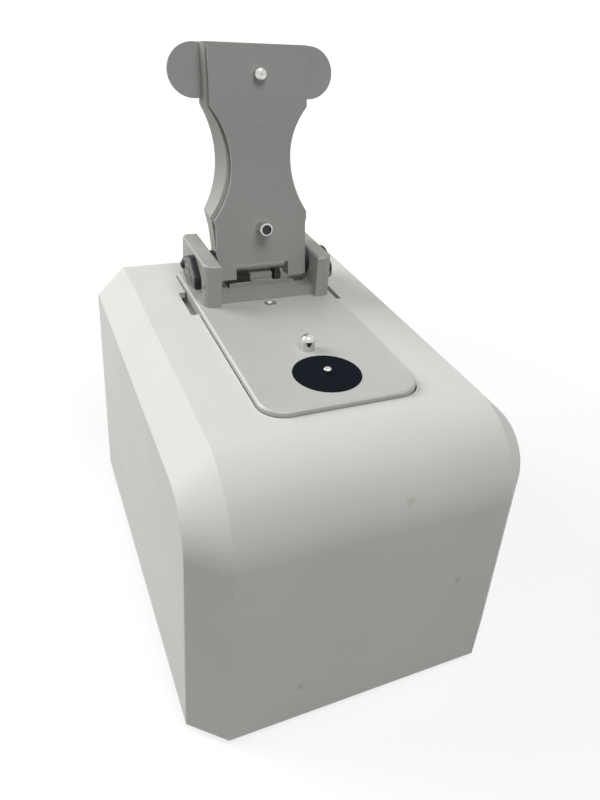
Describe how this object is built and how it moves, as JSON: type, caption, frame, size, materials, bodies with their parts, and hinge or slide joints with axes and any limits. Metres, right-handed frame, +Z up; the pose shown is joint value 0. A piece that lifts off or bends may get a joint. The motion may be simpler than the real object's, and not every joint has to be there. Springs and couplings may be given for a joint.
{
  "type": "microvolume spectrophotometer",
  "caption": "Bench instrument with a painted case, a pedestal plate on top and a hinged measuring arm that folds down over the lower pedestal.",
  "frame": {"origin": "middle of the instrument's footprint, on the bench under its feet", "axes": "+X to the right seen from the front, +Y to the back, +Z up"},
  "size_m": [0.14, 0.2, 0.2369],
  "materials": {
    "arm_metal": "satin",
    "arm_paint": "satin",
    "base_zinc": "satin",
    "board_green": "satin",
    "can_metal": "satin",
    "case_paint": "satin",
    "cast_metal": "cast",
    "chip_black": "matte",
    "coil_tape": "satin",
    "damper_black": "satin",
    "damper_grey": "satin",
    "disc_black": "satin",
    "ear_metal": "satin",
    "fibre_glass": "clear",
    "foot_rubber": "matte",
    "guard_steel": "satin",
    "hinge_steel": "brushed",
    "inner_metal": "satin",
    "jacket_black": "satin",
    "magnet_nickel": "satin",
    "plate_metal": "satin",
    "polished_steel": "polished",
    "screw_black": "satin",
    "screw_steel": "satin",
    "socket_black": "satin",
    "socket_steel": "satin",
    "washer_black": "matte"
  },
  "bodies": {
    "base": {"anchor_screws": "screw_black", "base_plate": "base_zinc", "base_screws": "screw_steel", "bench_port": "socket_steel", "board_capacitors": "can_metal", "board_chips": "chip_black", "board_headers": "socket_black", "board_standoffs": "socket_steel", "cover_band": "case_paint", "damper_case_left": "damper_black", "damper_case_right": "damper_black", "damper_face_left": "damper_grey", "damper_face_right": "damper_grey", "data_socket": "socket_steel", "fibre_guard": "guard_steel", "hinge_yoke": "plate_metal", "io_plate": "base_zinc", "lamp_fibre": "jacket_black", "lamp_housing": "cast_metal", "lid_screws": "screw_steel", "lower_fibre": "jacket_black", "lower_fibre_core": "fibre_glass", "lower_pedestal": "polished_steel", "main_board": "board_green", "pedestal_disc": "disc_black", "pedestal_nut": "screw_steel", "pedestal_plate": "plate_metal", "plate_screws": "screw_steel", "plunger_bush": "washer_black", "power_nut": "socket_steel", "power_socket": "socket_black", "rubber_feet": "foot_rubber", "side_panel_left": "case_paint", "side_panel_right": "case_paint", "solenoid_coil": "coil_tape", "solenoid_frame": "inner_metal", "spectrometer_housing": "cast_metal", "spectrometer_lid": "cast_metal", "strike_pad": "polished_steel", "support_bracket_left": "inner_metal", "support_bracket_right": "inner_metal"},
    "arm": {"arm_face": "arm_metal", "arm_cover": "arm_paint", "ear_left": "ear_metal", "ear_right": "ear_metal", "upper_pedestal": "polished_steel", "upper_fibre_core": "fibre_glass", "contact_stud": "polished_steel", "contact_magnet": "magnet_nickel", "stud_nut": "screw_steel", "optic_block": "cast_metal", "arm_fibre": "jacket_black", "hinge_shaft": "hinge_steel", "pivot_screws": "screw_black", "hinge_washers": "washer_black", "fibre_clip": "guard_steel"},
    "plunger": {"plunger": "polished_steel"}
  },
  "joints": [
    {"name": "arm_hinge", "type": "hinge", "parent": "base", "child": "arm", "pos_m": [0, 0.0441, 0.1395], "axis": [1, 0, 0], "range_deg": [0, 99.6]},
    {"name": "plunger_slide", "type": "slide", "parent": "base", "child": "plunger", "axis": [0, 0, 1], "range_m": [-0.001, 0], "stiffness_N_per_m": 400, "springref_m": 0.002}
  ]
}
